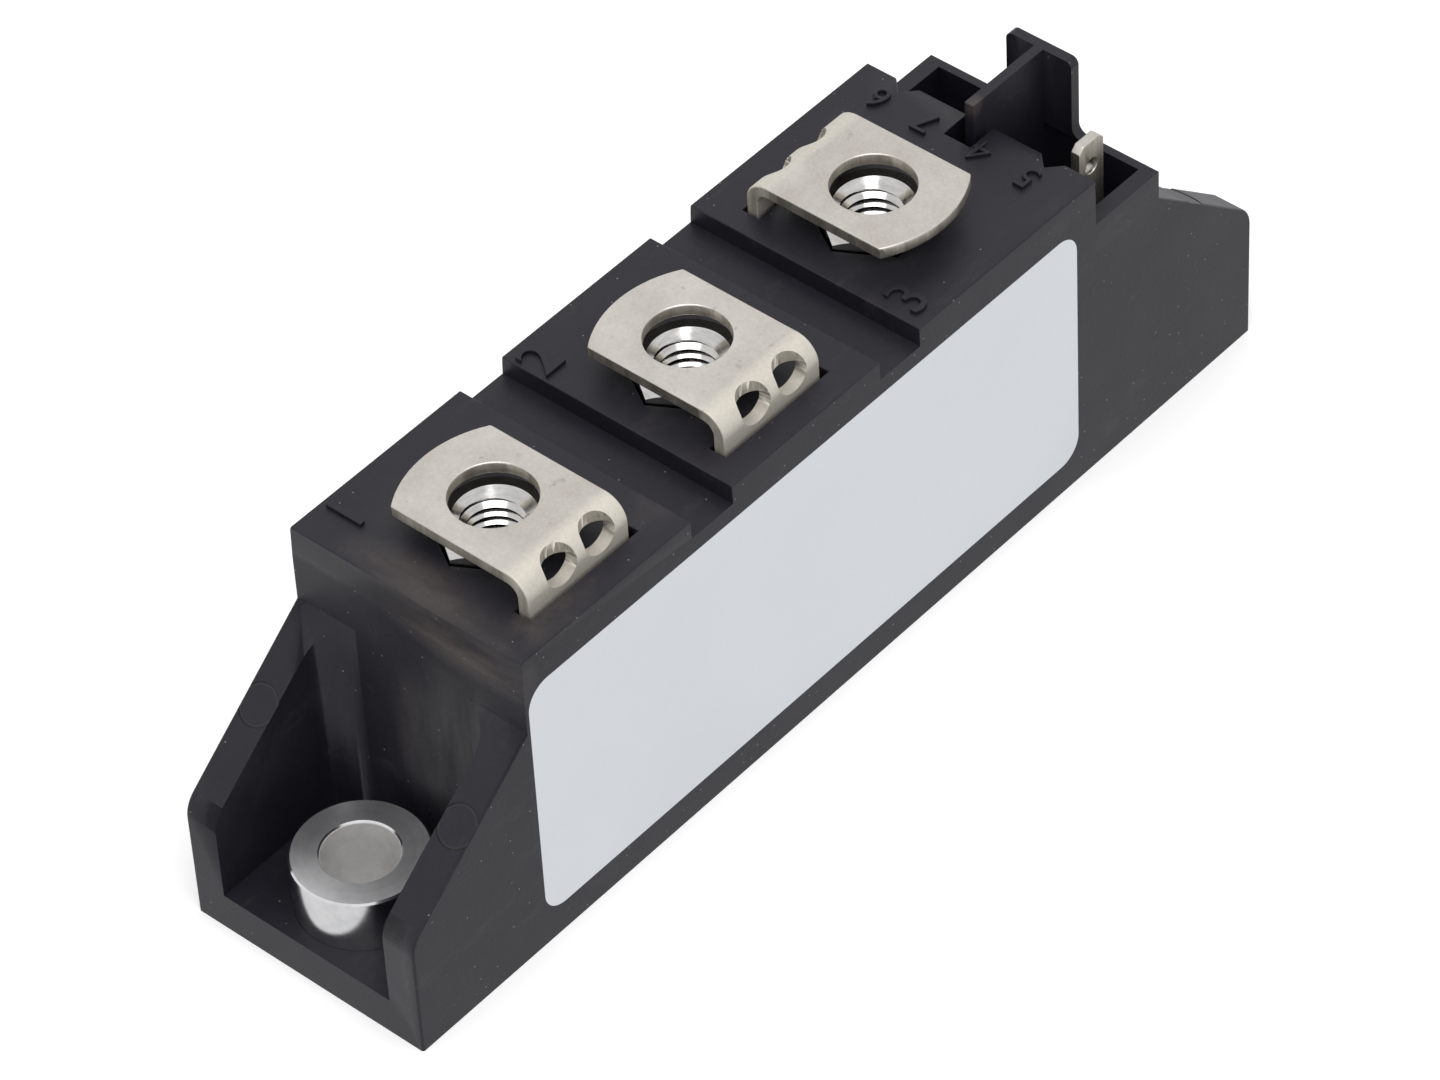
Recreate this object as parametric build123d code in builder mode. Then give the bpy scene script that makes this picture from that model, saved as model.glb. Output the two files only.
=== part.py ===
"""Power diode module: three M5 screw terminals on a bolt-down moulding, with one blade tab.

Millimetres, +Z up. The origin is the centre of the bottom face, +X points to the blade tab end
and the label is on the -Y side. Terminals 1, 2 and 3 follow each other along +X.
"""

from build123d import *
from math import atan2, cos, degrees, radians, sqrt
import os

# Housing. Places along X are counted from the two mounting holes.
hole_pitch = 80.0
end_margin = 6.0
head_room = 6.6
blade_room = 5.05
width = 21.15
top_height = 27.5
band_height = 24.7
band_inset = 0.05
top_edge_radius = 0.12
corner_radius = 0.2

# Bolt-down brackets: a floor between two walls with sloping tops.
floor_thickness = 3.3
bracket_wall = 2.8
slope_top_height = 20.9
slope_ratio = 0.82
shoulder_radius = 2.5
bay_corner_radius = 2.7
ejector_mark_diameter = 3.2
ejector_mark_depth = 0.05
ejector_mark_offset = 0.6

# Bushes moulded into the bracket floors.
bush_diameter = 10.0
bush_bore = 5.6
bush_height = 7.9
bush_rim_chamfer = 0.35
bush_bore_chamfer = 0.3
bush_gap = 0.02

# Creepage grooves across the top.
groove_width = 4.3
groove_depth = 1.6
groove_offset = 8.5

# Shell walls, and the bonded ceramic plate that closes the bottom.
side_wall = 1.8
end_wall = 1.6
roof = 3.6
seat_ledge = 0.8
plate_gap = 0.1

# Terminals: bent strips with a screw hole over a captive nut.
terminal_pitch = 20.0
first_terminal_offset = 15.3
terminal_row_y = -0.5
terminal_rise = 3.0
terminal_width = 10.1
terminal_thickness = 1.0
terminal_hole = 6.3
terminal_corner_reach = 4.75
terminal_tip_reach = 6.3
terminal_edge_radius = 0.15
bend_radius = 0.9
bend_hole = 3.0
bend_hole_pitch = 3.84
bend_hole_offset = 0.4
bend_hole_drop = 1.1
leg_side_room = 2.525
leg_width = 6.0
leg_shoulder_height = 22.0
foot_length = 3.6
slot_clearance = 0.25
slot_start_clearance = 0.2
slot_end_clearance = 0.6

# M5 nuts under the terminals, and the screw-end bores below them.
nut_across_flats = 8.0
nut_height = 4.7
nut_tap = 4.2
nut_countersink = 6.0
nut_headroom = 0.9
nut_clearance = 0.1
nut_face_diameter = 7.6
nut_corner_drop = 0.5
screw_end_bore = 5.6
screw_end_depth = 5.0
boss_floor = 1.5
boss_length = 11.6
boss_depth = 10.4

# Blade end: two open pockets parted by a T-shaped barrier.
rim_height = 23.4
pocket_room = 12.3
pocket_depth = 7.4
pocket_floor = 1.5
rear_wall = 3.5
pocket_side_wall = 1.3
pocket_end_wall = 0.7
barrier_line_y = -0.28
barrier_height = 30.3
barrier_web = 0.8
barrier_plate = 0.85
barrier_width = 6.0
barrier_corner_radius = 0.6
barrier_root_radius = 0.9
barrier_front_gap = 1.05
barrier_slot_width = 2.4
barrier_slot_length = 2.55
key_groove_depth = 1.05
key_groove_offset = 6.7

# Blade tab and its lead.
blade_line_y = -7.0
blade_width = 2.8
blade_thickness = 0.8
blade_top = 27.2
blade_offset = 2.1
blade_tip_chamfer = 0.5
blade_hole = 1.3
blade_hole_drop = 2.35
blade_clearance = 0.1
blade_lead_width = 1.4
blade_shoulder_height = 13.6
blade_foot = 2.4

# Ceramic plate with copper on both faces.
copper = 0.3
ceramic = 0.63
base_copper_inset = 1.0
bead_size = 0.8
track_inset = 1.0
track_gap = 1.0
common_pad_room = 8.9
lane_length = 24.2
lane_split_y = 0.4

# Diode chips, their solder and the contact clips.
chip_size = 6.2
chip_thickness = 0.3
solder_thickness = 0.1
chip_margin = 0.4
clip_width = 4.4
clip_thickness = 0.5
clip_rise = 1.0
clip_bend_radius = 0.5
clip_contact = 3.0
clip_foot = 1.9
clip_landing = 0.5
gel_height = 8.0
resin_height = 13.0

# Side label in its own shallow recess.
label_thickness = 0.12
label_length = 58.6
label_offset = 0.3
label_bottom = 2.6
label_top = 24.5
label_corner_radius = 2.0

length = hole_pitch + 2 * end_margin
half_width = width / 2
holes_x = (-hole_pitch / 2, hole_pitch / 2)
body_start = holes_x[0] + head_room
body_end = holes_x[1] - blade_room
rear_wall_x = holes_x[1] - pocket_room
terminals_x = [holes_x[0] + first_terminal_offset + terminal_pitch * i for i in range(3)]

cavity_start = body_start + end_wall
cavity_end = body_end - end_wall
cavity_half = half_width - side_wall
cavity_middle = (cavity_start + cavity_end) / 2
plate_length = cavity_end - cavity_start + 2 * seat_ledge
plate_width = 2 * (cavity_half + seat_ledge)
ceramic_top = copper + ceramic
track_top = ceramic_top + copper

terminal_top = top_height + terminal_rise
terminal_reach = half_width + terminal_row_y - leg_side_room
nut_seat = terminal_top - terminal_thickness - nut_headroom - nut_height
pocket_base = rim_height - pocket_depth
blade_start = rear_wall_x + blade_offset
blade_middle = blade_start + blade_width / 2

track_half = cavity_half - track_inset
common_pad_start = cavity_start + track_inset
common_pad_end = terminals_x[0] + common_pad_room
positive_start = common_pad_end + track_gap
lane_end = common_pad_end + lane_length
negative_start = lane_end + track_gap
negative_end = cavity_end - track_inset
lane_low = lane_split_y + track_gap / 2
positive_high = lane_split_y - track_gap / 2
chip_base = track_top + solder_thickness
chip_top = chip_base + chip_thickness
chip_places = [
    (positive_start + chip_margin + chip_size / 2, (positive_high - track_half) / 2),
    (lane_end - chip_margin - chip_size / 2, (lane_low + track_half) / 2),
]

label_middle = (body_start + label_offset + label_length / 2, (label_bottom + label_top) / 2)

# Each terminal's name, place along X and the side that its leg lies on.
terminals = [
    ("terminal_1", terminals_x[0], -1),
    ("terminal_2", terminals_x[1], -1),
    ("terminal_3", terminals_x[2], 1),
]
os.makedirs("parts", exist_ok=True)

# Inner space of the housing, with the nut bosses and the floor of the blade pockets left out.
with BuildPart() as cavity:
    with BuildSketch():
        with Locations((cavity_middle, 0)):
            Rectangle(cavity_end - cavity_start, 2 * cavity_half)
    extrude(amount=top_height - roof)
    with BuildSketch(Plane.XY.offset(nut_seat - screw_end_depth - boss_floor)):
        with Locations(*[(x, terminal_row_y) for x in terminals_x]):
            Rectangle(boss_length, boss_depth)
    extrude(amount=top_height, mode=Mode.SUBTRACT)
    with BuildSketch(Plane.XY.offset(pocket_base - pocket_floor)):
        with Locations((rear_wall_x - rear_wall, 0)):
            Rectangle(length, width, align=(Align.MIN, Align.CENTER))
    extrude(amount=top_height, mode=Mode.SUBTRACT)

with BuildPart() as housing:
    # Side outline: brackets with sloping walls, the terminal blocks and the low blade end.
    left_corner_height = slope_top_height - slope_ratio * (body_start + length / 2)
    right_corner_height = slope_top_height - slope_ratio * (length / 2 - body_end)
    with BuildSketch(Plane.XZ) as side:
        with BuildLine():
            Polyline(
                (-length / 2, 0),
                (-length / 2, left_corner_height),
                (body_start, slope_top_height),
                (body_start, band_height),
                (rear_wall_x, band_height),
                (rear_wall_x, rim_height),
                (body_end, rim_height),
                (body_end, slope_top_height),
                (length / 2, right_corner_height),
                (length / 2, 0),
                close=True,
            )
        make_face()
        end_corners = side.vertices().group_by(Axis.X)
        shoulders = [end_corners[0].sort_by(Axis.Y)[-1], end_corners[-1].sort_by(Axis.Y)[-1]]
        fillet(shoulders, shoulder_radius)
    extrude(amount=half_width, both=True)
    end_edges = housing.edges().filter_by(Axis.Z).group_by(Axis.X)
    fillet(end_edges[0] + end_edges[-1], corner_radius)

    # Top band of the blocks, drawn in a little towards the top face.
    with BuildSketch(Plane.XY.offset(band_height)):
        with Locations((body_start, 0)):
            Rectangle(body_end - body_start, width, align=(Align.MIN, Align.CENTER))
    band_rise = top_height - band_height
    extrude(amount=band_rise, taper=degrees(atan2(band_inset, band_rise)))
    fillet(housing.faces().sort_by(Axis.Z)[-1].edges(), top_edge_radius)
    with BuildSketch(Plane.XY.offset(rim_height)):
        with Locations((rear_wall_x, 0)):
            Rectangle(length, 2 * width, align=(Align.MIN, Align.CENTER))
    extrude(amount=top_height, mode=Mode.SUBTRACT)

    # Screw bays, open at the ends and above.
    with BuildSketch(Plane.XY.offset(floor_thickness)):
        for bay_start, bay_end in ((-length, body_start), (body_end, length)):
            with Locations(((bay_start + bay_end) / 2, 0)):
                RectangleRounded(bay_end - bay_start, width - 2 * bracket_wall, bay_corner_radius)
    extrude(amount=slope_top_height, mode=Mode.SUBTRACT)
    with BuildSketch():
        with Locations(*[(x, 0) for x in holes_x]):
            Circle(bush_diameter / 2 + bush_gap)
    extrude(amount=floor_thickness, mode=Mode.SUBTRACT)

    # Round ejector marks on the sloping wall tops.
    for hole_x, lean in ((holes_x[0], -1), (holes_x[1], 1)):
        block_face = body_start if lean < 0 else body_end
        mark_x = hole_x - lean * ejector_mark_offset
        mark_height = slope_top_height - slope_ratio * abs(mark_x - block_face)
        for mark_side in (-1, 1):
            mark_y = mark_side * (half_width - bracket_wall / 2)
            slope_normal = (lean * slope_ratio, 0, 1)
            with BuildSketch(Plane((mark_x, mark_y, mark_height), (0, 1, 0), slope_normal)):
                Circle(ejector_mark_diameter / 2)
            extrude(amount=-ejector_mark_depth, mode=Mode.SUBTRACT)

    # Grooves between the terminal blocks.
    with BuildSketch(Plane.XY.offset(top_height - groove_depth)):
        for terminal_x in terminals_x[:2]:
            with Locations((terminal_x + groove_offset, 0)):
                Rectangle(groove_width, 2 * width, align=(Align.MIN, Align.CENTER))
    extrude(amount=top_height, mode=Mode.SUBTRACT)

    # Inner space and the seat of the ceramic plate.
    add(cavity.part, mode=Mode.SUBTRACT)
    with BuildSketch():
        with Locations((cavity_middle, 0)):
            Rectangle(plate_length + 2 * plate_gap, plate_width + 2 * plate_gap)
    extrude(amount=ceramic_top, mode=Mode.SUBTRACT)

    # Nut pockets with bores for the screw ends below.
    with BuildSketch(Plane.XY.offset(nut_seat)):
        with Locations(*[(x, terminal_row_y) for x in terminals_x]):
            RegularPolygon((nut_across_flats / 2 + nut_clearance) / cos(radians(30)), 6)
    extrude(amount=top_height, mode=Mode.SUBTRACT)
    with BuildSketch(Plane.XY.offset(nut_seat)):
        with Locations(*[(x, terminal_row_y) for x in terminals_x]):
            Circle(screw_end_bore / 2)
    extrude(amount=-screw_end_depth, mode=Mode.SUBTRACT)

    # Slots that the terminal legs pass through.
    leg_center_reach = terminal_reach - terminal_thickness / 2
    with BuildSketch(Plane.XY.offset(top_height)):
        for _, terminal_x, side_sign in terminals:
            slot_start = terminal_x - terminal_width / 2 - slot_start_clearance
            with Locations((slot_start, terminal_row_y + side_sign * leg_center_reach)):
                Rectangle(
                    terminal_width + slot_start_clearance + slot_end_clearance,
                    terminal_thickness + 2 * slot_clearance,
                    align=(Align.MIN, Align.CENTER),
                )
    extrude(amount=-roof, mode=Mode.SUBTRACT)

    # Blade pockets with a key groove each, and the slot of the tab in the pocket floor.
    pocket_end_x = body_end - pocket_end_wall
    pocket_side_y = half_width - pocket_side_wall
    with BuildSketch(Plane.XY.offset(pocket_base)):
        for pocket_side in (-1, 1):
            near_y = barrier_line_y + pocket_side * barrier_web / 2
            far_y = pocket_side * pocket_side_y
            with Locations(((rear_wall_x + pocket_end_x) / 2, (near_y + far_y) / 2)):
                Rectangle(pocket_end_x - rear_wall_x, abs(far_y - near_y))
            with Locations((rear_wall_x, pocket_side * key_groove_offset)):
                groove_side = key_groove_depth * sqrt(2)
                Rectangle(groove_side, groove_side, rotation=45)
    extrude(amount=top_height, mode=Mode.SUBTRACT)
    with BuildSketch(Plane.XY.offset(pocket_base)):
        with Locations((blade_middle, blade_line_y)):
            Rectangle(blade_width + 2 * blade_clearance, blade_thickness + 2 * blade_clearance)
    extrude(amount=-pocket_floor, mode=Mode.SUBTRACT)

    # Barrier: a web that starts in a slot of the last block and ends in a cross plate.
    with BuildSketch(Plane.XY.offset(rim_height)):
        with Locations((rear_wall_x - barrier_slot_length, 0)):
            Rectangle(2 * barrier_slot_length, barrier_slot_width, align=(Align.MIN, Align.CENTER))
    extrude(amount=top_height, mode=Mode.SUBTRACT)
    with BuildSketch(Plane.XY.offset(rim_height)):
        web_start = rear_wall_x - barrier_slot_length + barrier_front_gap
        with Locations((web_start, barrier_line_y)):
            Rectangle(body_end - web_start, barrier_web, align=(Align.MIN, Align.CENTER))
    extrude(amount=barrier_height - rim_height)
    with BuildSketch(Plane.YZ.offset(body_end)):
        plate_low = barrier_line_y - barrier_width / 2
        plate_high = barrier_line_y + barrier_width / 2
        root_height = rim_height + barrier_root_radius
        with BuildLine():
            high_root = RadiusArc(
                (plate_high + barrier_root_radius, rim_height),
                (plate_high, root_height),
                barrier_root_radius,
            )
            top_line = FilletPolyline(
                high_root @ 1,
                (plate_high, barrier_height),
                (plate_low, barrier_height),
                (plate_low, root_height),
                radius=barrier_corner_radius,
            )
            low_root = RadiusArc(
                top_line @ 1,
                (plate_low - barrier_root_radius, rim_height),
                barrier_root_radius,
            )
            Line(low_root @ 1, high_root @ 0)
        make_face()
    extrude(amount=-barrier_plate)

    # Shallow recess for the label.
    with BuildSketch(Plane.XZ.offset(half_width)):
        with Locations(label_middle):
            RectangleRounded(label_length, label_top - label_bottom, label_corner_radius)
    extrude(amount=-label_thickness, mode=Mode.SUBTRACT)

housing.part.label = "housing"
export_step(housing.part, "parts/housing.step")

with BuildPart() as label:
    with BuildSketch(Plane.XZ.offset(half_width)):
        with Locations(label_middle):
            RectangleRounded(label_length, label_top - label_bottom, label_corner_radius)
    extrude(amount=-label_thickness)

label.part.label = "side_label"
export_step(label.part, "parts/side_label.step")

# Turned bush round each mounting hole.
for bush_name, hole_x in (("bush_terminal_end", holes_x[0]), ("bush_blade_end", holes_x[1])):
    with BuildPart() as bush:
        with BuildSketch():
            with Locations((hole_x, 0)):
                Circle(bush_diameter / 2)
                Circle(bush_bore / 2, mode=Mode.SUBTRACT)
        extrude(amount=bush_height)
        rims = bush.faces().sort_by(Axis.Z)[-1].edges().sort_by(SortBy.LENGTH)
        chamfer(rims[0], bush_bore_chamfer)
        chamfer(rims[-1], bush_rim_chamfer)
    bush.part.label = bush_name
    export_step(bush.part, f"parts/{bush_name}.step")

# Terminals: a strip bent from a foot on its track, up the leg and over the nut.
terminal_parts = []
for terminal_name, terminal_x, side_sign in terminals:
    leg_y = terminal_row_y + side_sign * terminal_reach
    foot_y = leg_y - side_sign * foot_length
    tip_y = terminal_row_y - side_sign * terminal_tip_reach
    corner_y = terminal_row_y - side_sign * terminal_corner_reach
    with BuildPart() as terminal:
        with BuildSketch(Plane.YZ.offset(terminal_x)):
            with BuildLine():
                strip = FilletPolyline(
                    (foot_y, track_top),
                    (leg_y, track_top),
                    (leg_y, terminal_top),
                    (tip_y, terminal_top),
                    radius=bend_radius + terminal_thickness,
                )
                inner_side = Side.RIGHT if side_sign < 0 else Side.LEFT
                offset(strip, amount=terminal_thickness, side=inner_side)
            make_face()
        extrude(amount=terminal_width / 2, both=True)
        with BuildSketch() as plan:
            with BuildLine():
                left, right = terminal_x - terminal_width / 2, terminal_x + terminal_width / 2
                tip = ThreePointArc((left, corner_y), (terminal_x, tip_y), (right, corner_y))
                Polyline((right, corner_y), (right, leg_y), (left, leg_y), (left, corner_y))
            make_face()
        extrude(amount=2 * terminal_top, mode=Mode.INTERSECT)
        with BuildSketch(Plane.XY.offset(leg_shoulder_height)):
            for cut_x, cut_align in ((left, Align.MIN), (right, Align.MAX)):
                with Locations((cut_x, 0)):
                    cut_width = (terminal_width - leg_width) / 2
                    Rectangle(cut_width, width, align=(cut_align, Align.CENTER))
        extrude(amount=-leg_shoulder_height, mode=Mode.SUBTRACT)
        with BuildSketch(Plane.XY.offset(terminal_top)):
            with Locations((terminal_x, terminal_row_y)):
                Circle(terminal_hole / 2)
        extrude(amount=-terminal_thickness, mode=Mode.SUBTRACT)
        # The bend holes are punched before the strip is bent, so their walls stand square to it.
        holes_middle = terminal_x - side_sign * bend_hole_offset
        with BuildSketch(Plane.XY.offset(terminal_top)):
            with Locations((holes_middle, leg_y)):
                with GridLocations(bend_hole_pitch, 1, 2, 1):
                    Circle(bend_hole / 2)
        extrude(amount=-bend_hole_drop, mode=Mode.SUBTRACT)
        with BuildSketch(Plane.XZ.offset(-leg_y)):
            with Locations((holes_middle, terminal_top - bend_hole_drop)):
                with GridLocations(bend_hole_pitch, 1, 2, 1):
                    Circle(bend_hole / 2)
                    Rectangle(
                        bend_hole,
                        bend_hole,
                        align=(Align.CENTER, Align.MIN),
                        mode=Mode.SUBTRACT,
                    )
        extrude(amount=side_sign * bend_hole / 2, mode=Mode.SUBTRACT)
        top_face = terminal.faces().filter_by(Plane.XY).sort_by(Axis.Z)[-1]
        fillet(top_face.outer_wire().edges().filter_by(Axis.Y), terminal_edge_radius)
    terminal.part.label = terminal_name
    export_step(terminal.part, f"parts/{terminal_name}.step")
    terminal_parts.append(terminal.part)

# One M5 nut, then the three captive ones as a group.
with BuildPart() as nut:
    nut_corner = nut_across_flats / 2 / cos(radians(30))
    with BuildSketch():
        RegularPolygon(nut_corner, 6)
    extrude(amount=nut_height)
    with BuildSketch(Plane.XZ):
        with BuildLine():
            Polyline(
                (0, 0),
                (nut_corner, 0),
                (nut_corner, nut_height - nut_corner_drop),
                (nut_face_diameter / 2, nut_height),
                (0, nut_height),
                close=True,
            )
        make_face()
    revolve(axis=Axis.Z, mode=Mode.INTERSECT)
    with Locations((0, 0, nut_height)):
        CounterSinkHole(nut_tap / 2, nut_countersink / 2, counter_sink_angle=90)

with BuildPart() as nuts:
    with Locations(*[(x, terminal_row_y, nut_seat) for x in terminals_x]):
        add(nut.part)

nuts.part.label = "terminal_nuts"
export_step(nuts.part, "parts/terminal_nuts.step")

# Blade tab: a flat blade, a narrow lead through the pocket floor and a foot on the track.
with BuildPart() as blade:
    with BuildSketch(Plane.YZ.offset(blade_middle)):
        with BuildLine():
            blade_face_y = blade_line_y - blade_thickness / 2
            blade_path = Polyline(
                (blade_face_y, blade_top),
                (blade_face_y, track_top),
                (blade_face_y + blade_foot, track_top),
            )
            offset(blade_path, amount=blade_thickness, side=Side.LEFT)
        make_face()
    extrude(amount=blade_width / 2, both=True)
    with BuildSketch(Plane.XY.offset(blade_shoulder_height)):
        with Locations((blade_start + blade_lead_width, blade_line_y)):
            Rectangle(blade_width, 4 * blade_foot, align=(Align.MIN, Align.CENTER))
    extrude(amount=-blade_shoulder_height, mode=Mode.SUBTRACT)
    tip_edges = blade.edges().group_by(Axis.Z)[-1]
    chamfer(tip_edges.filter_by(Axis.Y), blade_tip_chamfer)
    with BuildSketch(Plane.XZ.offset(-blade_line_y)):
        with Locations((blade_middle, blade_top - blade_hole_drop)):
            Circle(blade_hole / 2)
    extrude(amount=blade_thickness, both=True, mode=Mode.SUBTRACT)

blade.part.label = "blade_tab"
export_step(blade.part, "parts/blade_tab.step")

# Ceramic plate with its heat-sink copper below.
with BuildPart() as base_copper:
    with BuildSketch():
        with Locations((cavity_middle, 0)):
            Rectangle(plate_length - 2 * base_copper_inset, plate_width - 2 * base_copper_inset)
    extrude(amount=copper)

base_copper.part.label = "base_copper"
export_step(base_copper.part, "parts/base_copper.step")

with BuildPart() as ceramic_plate:
    with BuildSketch(Plane.XY.offset(copper)):
        with Locations((cavity_middle, 0)):
            Rectangle(plate_length, plate_width)
    extrude(amount=ceramic)

ceramic_plate.part.label = "ceramic_plate"
export_step(ceramic_plate.part, "parts/ceramic_plate.step")

# Copper tracks: the common pad runs on as a lane beside the positive track.
with BuildPart() as common_track:
    with BuildSketch(Plane.XY.offset(ceramic_top)):
        with Locations((common_pad_start, 0)):
            Rectangle(
                common_pad_end - common_pad_start,
                2 * track_half,
                align=(Align.MIN, Align.CENTER),
            )
        with Locations((common_pad_end, lane_low)):
            Rectangle(lane_length, track_half - lane_low, align=(Align.MIN, Align.MIN))
    extrude(amount=copper)

common_track.part.label = "common_track"
export_step(common_track.part, "parts/common_track.step")

with BuildPart() as positive_track:
    with BuildSketch(Plane.XY.offset(ceramic_top)):
        with Locations((positive_start, positive_high)):
            Rectangle(
                lane_end - positive_start,
                positive_high + track_half,
                align=(Align.MIN, Align.MAX),
            )
    extrude(amount=copper)

positive_track.part.label = "positive_track"
export_step(positive_track.part, "parts/positive_track.step")

with BuildPart() as negative_track:
    with BuildSketch(Plane.XY.offset(ceramic_top)):
        with Locations(((negative_start + negative_end) / 2, 0)):
            Rectangle(negative_end - negative_start, 2 * track_half)
    extrude(amount=copper)

negative_track.part.label = "negative_track"
export_step(negative_track.part, "parts/negative_track.step")

# Two diode chips, each on its solder layer.
chip_parts = []
for number, (chip_x, chip_y) in enumerate(chip_places, 1):
    with BuildPart() as solder:
        with BuildSketch(Plane.XY.offset(track_top)):
            with Locations((chip_x, chip_y)):
                Rectangle(chip_size, chip_size)
        extrude(amount=solder_thickness)
    solder.part.label = f"chip_solder_{number}"
    export_step(solder.part, f"parts/chip_solder_{number}.step")
    with BuildPart() as chip:
        with BuildSketch(Plane.XY.offset(chip_base)):
            with Locations((chip_x, chip_y)):
                Rectangle(chip_size, chip_size)
        extrude(amount=chip_thickness)
    chip.part.label = f"diode_chip_{number}"
    export_step(chip.part, f"parts/diode_chip_{number}.step")
    chip_parts += [solder.part, chip.part]

# Contact clips: from the first chip across to the lane, and from the second to the next track.
clip_routes = [
    (Plane(origin=(*chip_places[0], 0), x_dir=(0, 1, 0), z_dir=(1, 0, 0)), lane_low, 1),
    (Plane(origin=(*chip_places[1], 0), x_dir=(1, 0, 0), z_dir=(0, -1, 0)), negative_start, 0),
]
clip_parts = []
for number, (clip_plane, landing_edge, along) in enumerate(clip_routes, 1):
    reach = landing_edge + clip_landing - chip_places[number - 1][along]
    fall = clip_rise + chip_top - track_top
    with BuildPart() as clip:
        with BuildSketch(clip_plane):
            with BuildLine():
                underside = FilletPolyline(
                    (-clip_contact / 2, chip_top),
                    (clip_contact / 2, chip_top),
                    (clip_contact / 2 + clip_rise, chip_top + clip_rise),
                    (reach - fall, chip_top + clip_rise),
                    (reach, track_top),
                    (reach + clip_foot, track_top),
                    radius=clip_bend_radius,
                )
                offset(underside, amount=clip_thickness, side=Side.LEFT)
            make_face()
        extrude(amount=clip_width / 2, both=True)
    clip.part.label = f"contact_clip_{number}"
    export_step(clip.part, f"parts/contact_clip_{number}.step")
    clip_parts.append(clip.part)

# Bead that bonds the ceramic plate into the housing.
with BuildPart() as bead:
    with BuildSketch(Plane.XY.offset(ceramic_top)):
        with Locations((cavity_middle, 0)):
            Rectangle(cavity_end - cavity_start, 2 * cavity_half)
            Rectangle(
                cavity_end - cavity_start - 2 * bead_size,
                2 * (cavity_half - bead_size),
                mode=Mode.SUBTRACT,
            )
    extrude(amount=bead_size)

bead.part.label = "adhesive_bead"
export_step(bead.part, "parts/adhesive_bead.step")

# Soft gel over the circuit and hard resin on top of it, cast round everything inside.
inner_parts = [bead.part, common_track.part, positive_track.part, negative_track.part]
inner_parts += chip_parts + clip_parts + terminal_parts + [blade.part]
fillings = [("silicone_gel", ceramic_top, gel_height), ("casting_resin", gel_height, resin_height)]
for filling_name, filling_base, filling_top in fillings:
    with BuildPart() as filling:
        add(cavity.part)
        with BuildSketch(Plane.XY.offset(filling_base)):
            Rectangle(2 * length, 2 * width)
        extrude(amount=filling_top - filling_base, mode=Mode.INTERSECT)
        for piece in inner_parts:
            add(piece, mode=Mode.SUBTRACT)
    filling.part.label = filling_name
    export_step(filling.part, f"parts/{filling_name}.step")
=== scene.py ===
from math import cos, radians, sin

import bmesh
import bpy
from mathutils import Matrix, Vector


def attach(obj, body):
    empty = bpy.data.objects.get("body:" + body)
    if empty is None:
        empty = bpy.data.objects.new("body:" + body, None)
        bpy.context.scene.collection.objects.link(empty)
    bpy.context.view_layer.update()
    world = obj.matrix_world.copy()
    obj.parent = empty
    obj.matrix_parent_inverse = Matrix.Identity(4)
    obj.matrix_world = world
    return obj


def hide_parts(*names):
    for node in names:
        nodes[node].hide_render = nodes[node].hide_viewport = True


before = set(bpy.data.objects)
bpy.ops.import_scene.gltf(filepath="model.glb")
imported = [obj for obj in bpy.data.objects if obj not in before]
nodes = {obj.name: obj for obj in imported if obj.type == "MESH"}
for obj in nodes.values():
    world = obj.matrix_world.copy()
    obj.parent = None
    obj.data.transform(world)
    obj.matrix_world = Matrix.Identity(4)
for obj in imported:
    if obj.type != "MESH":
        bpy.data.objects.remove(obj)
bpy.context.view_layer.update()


# The case is one black moulding of glass-filled plastic: three terminal blocks between two
# bolt-down brackets. The rims of the blocks have a small radius, and the faces carry the fine
# grain of the mould, with rubbed marks on the worn edges and a little dust. The lighter streaked
# patches in the bays are painted reflection of the floor.
def deselect():
    bpy.ops.object.select_all(action="DESELECT")


def pick(piece):
    deselect()
    piece.select_set(True)
    bpy.context.view_layer.objects.active = piece


def make_flats_whole(piece):
    """Merges a piece's doubles and makes each flat face one face."""
    pick(piece)
    bpy.ops.object.mode_set(mode="EDIT")
    bpy.ops.mesh.select_all(action="SELECT")
    bpy.ops.mesh.remove_doubles(threshold=0.000002)
    bpy.ops.mesh.dissolve_limited(angle_limit=radians(0.5), use_dissolve_boundaries=False)
    bpy.ops.object.mode_set(mode="OBJECT")


def merged_copy(node, name):
    """Copies a CAD node's mesh into a new piece with whole flat faces."""
    piece = bpy.data.objects.new(name, nodes[node].data.copy())
    bpy.context.scene.collection.objects.link(piece)
    piece.data.materials.clear()
    make_flats_whole(piece)
    return piece


def shade_flat_and_round(piece, over=35):
    """Shades curved faces smoothly and keeps flat faces flat."""
    pick(piece)
    bpy.ops.object.shade_smooth_by_angle(angle=radians(over))
    even = piece.modifiers.new("even_normals", "WEIGHTED_NORMAL")
    even.keep_sharp = True
    bpy.ops.object.modifier_apply(modifier="even_normals")


def round_edges(piece, width, over, segments=3, chosen=None):
    """Gives a piece's edges that turn by more than an angle a small radius, where they are chosen."""
    work = bmesh.new()
    work.from_mesh(piece.data)
    weight = work.edges.layers.float.new("bevel_weight_edge")
    for edge in work.edges:
        middle = (edge.verts[0].co + edge.verts[1].co) / 2
        wanted = chosen is None or chosen(middle)
        if edge.is_manifold and wanted and edge.calc_face_angle() > radians(over):
            edge[weight] = 1.0
    work.to_mesh(piece.data)
    work.free()
    pick(piece)
    bevel = piece.modifiers.new("edge_radius", "BEVEL")
    bevel.width = width
    bevel.segments = segments
    bevel.limit_method = "WEIGHT"
    bevel.use_clamp_overlap = False
    bevel.miter_outer = "MITER_ARC"
    bpy.ops.object.modifier_apply(modifier="edge_radius")
    shade_flat_and_round(piece)


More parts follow.
